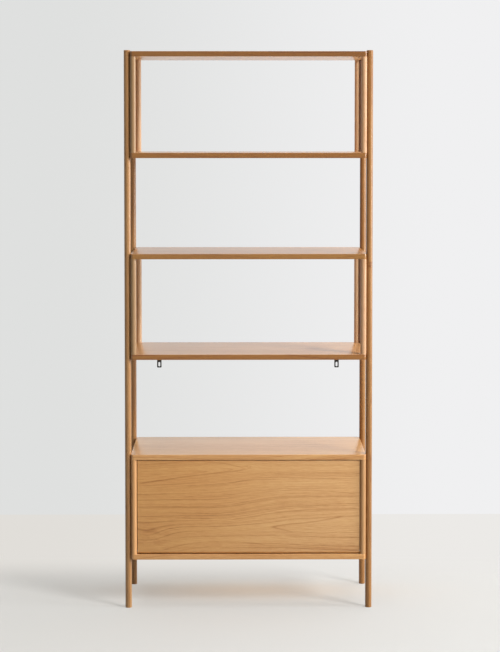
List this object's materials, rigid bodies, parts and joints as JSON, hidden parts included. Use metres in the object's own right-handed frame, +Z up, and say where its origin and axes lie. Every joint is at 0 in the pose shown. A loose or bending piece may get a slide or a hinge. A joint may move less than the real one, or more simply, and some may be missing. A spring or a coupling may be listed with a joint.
{
  "type": "shelving unit",
  "caption": "Tall open shelving unit in oak: round posts carry open shelf modules and a low cabinet with a drop-down flap on brake stays.",
  "frame": {"origin": "on the floor, midway between the four posts", "axes": "+Z up along the posts, +X to the right across the boards, -Y to the front"},
  "size_m": [0.842, 0.38, 1.9],
  "materials": {
    "oak_post": "clear satin lacquer on solid oak",
    "oak_rod": "clear satin lacquer on solid oak",
    "oak_board": "clear satin lacquer on oak veneer",
    "oak_panel": "clear satin lacquer on oak veneer",
    "oak_flap": "clear satin lacquer on oak veneer, grain lying across",
    "beech_dowel": "bare beech",
    "black_steel": "black powder coat",
    "zinc_steel": "bright zinc plate",
    "grey_plastic": "moulded, matt"
  },
  "bodies": {
    "frame": {"cabinet_back_panel": "oak_panel", "cabinet_bottom_board": "oak_board", "cabinet_rod_front_left": "oak_rod", "cabinet_rod_front_right": "oak_rod", "cabinet_rod_rear_left": "oak_rod", "cabinet_rod_rear_right": "oak_rod", "cabinet_side_left": "oak_panel", "cabinet_side_right": "oak_panel", "cabinet_top_board": "oak_board", "latch_housing_left": "grey_plastic", "latch_housing_right": "grey_plastic", "middle_module_bottom_board": "oak_board", "middle_module_rod_front_left": "oak_rod", "middle_module_rod_front_right": "oak_rod", "middle_module_rod_rear_left": "oak_rod", "middle_module_rod_rear_right": "oak_rod", "middle_module_top_board": "oak_board", "post_connectors": "beech_dowel", "post_front_left": "oak_post", "post_front_right": "oak_post", "post_rear_left": "oak_post", "post_rear_right": "oak_post", "rod_dowels": "beech_dowel", "stay_plate_left": "zinc_steel", "stay_plate_right": "zinc_steel", "top_module_bottom_board": "oak_board", "top_module_rod_front_left": "oak_rod", "top_module_rod_front_right": "oak_rod", "top_module_rod_rear_left": "oak_rod", "top_module_rod_rear_right": "oak_rod", "top_module_top_board": "oak_board", "wall_bracket_left": "black_steel", "wall_bracket_right": "black_steel"},
    "flap": {"cabinet_flap": "oak_flap", "flap_hinge_pin_left": "zinc_steel", "flap_hinge_pin_right": "zinc_steel", "flap_bracket_left": "zinc_steel", "flap_bracket_right": "zinc_steel", "latch_strike_left": "zinc_steel", "latch_strike_right": "zinc_steel"},
    "stay_bar_left": {"stay_bar_left": "zinc_steel"},
    "stay_guide_left": {"stay_guide_left": "grey_plastic", "stay_brake_screw_left": "zinc_steel"},
    "latch_plunger_left": {"latch_plunger_left": "grey_plastic"},
    "stay_bar_right": {"stay_bar_right": "zinc_steel"},
    "stay_guide_right": {"stay_guide_right": "grey_plastic", "stay_brake_screw_right": "zinc_steel"},
    "latch_plunger_right": {"latch_plunger_right": "grey_plastic"}
  },
  "joints": [
    {"name": "flap_hinge", "type": "hinge", "parent": "frame", "child": "flap", "pos_m": [0, -0.177, 0.196], "axis": [1, 0, 0], "range_deg": [0, 90]},
    {"name": "stay_foot_left", "type": "hinge", "parent": "flap", "child": "stay_bar_left", "pos_m": [-0.375, -0.156, 0.346], "axis": [1, 0, 0], "range_deg": [-45, 0]},
    {"name": "stay_swivel_left", "type": "hinge", "parent": "frame", "child": "stay_guide_left", "pos_m": [-0.375, -0.0699, 0.3031], "axis": [1, 0, 0], "range_deg": [0, 45]},
    {"name": "latch_press_left", "type": "slide", "parent": "frame", "child": "latch_plunger_left", "axis": [0, 1, 0], "range_m": [0, 0.003], "stiffness_N_per_m": 400},
    {"name": "stay_foot_right", "type": "hinge", "parent": "flap", "child": "stay_bar_right", "pos_m": [0.375, -0.156, 0.346], "axis": [1, 0, 0], "range_deg": [-45, 0]},
    {"name": "stay_swivel_right", "type": "hinge", "parent": "frame", "child": "stay_guide_right", "pos_m": [0.375, -0.0699, 0.3031], "axis": [1, 0, 0], "range_deg": [0, 45]},
    {"name": "latch_press_right", "type": "slide", "parent": "frame", "child": "latch_plunger_right", "axis": [0, 1, 0], "range_m": [0, 0.003], "stiffness_N_per_m": 400}
  ],
  "couplings": [
    {"joint": "stay_foot_left", "follows": "flap_hinge", "ratio": -0.5},
    {"joint": "stay_swivel_left", "follows": "flap_hinge", "ratio": 0.5},
    {"joint": "stay_foot_right", "follows": "flap_hinge", "ratio": -0.5},
    {"joint": "stay_swivel_right", "follows": "flap_hinge", "ratio": 0.5}
  ]
}
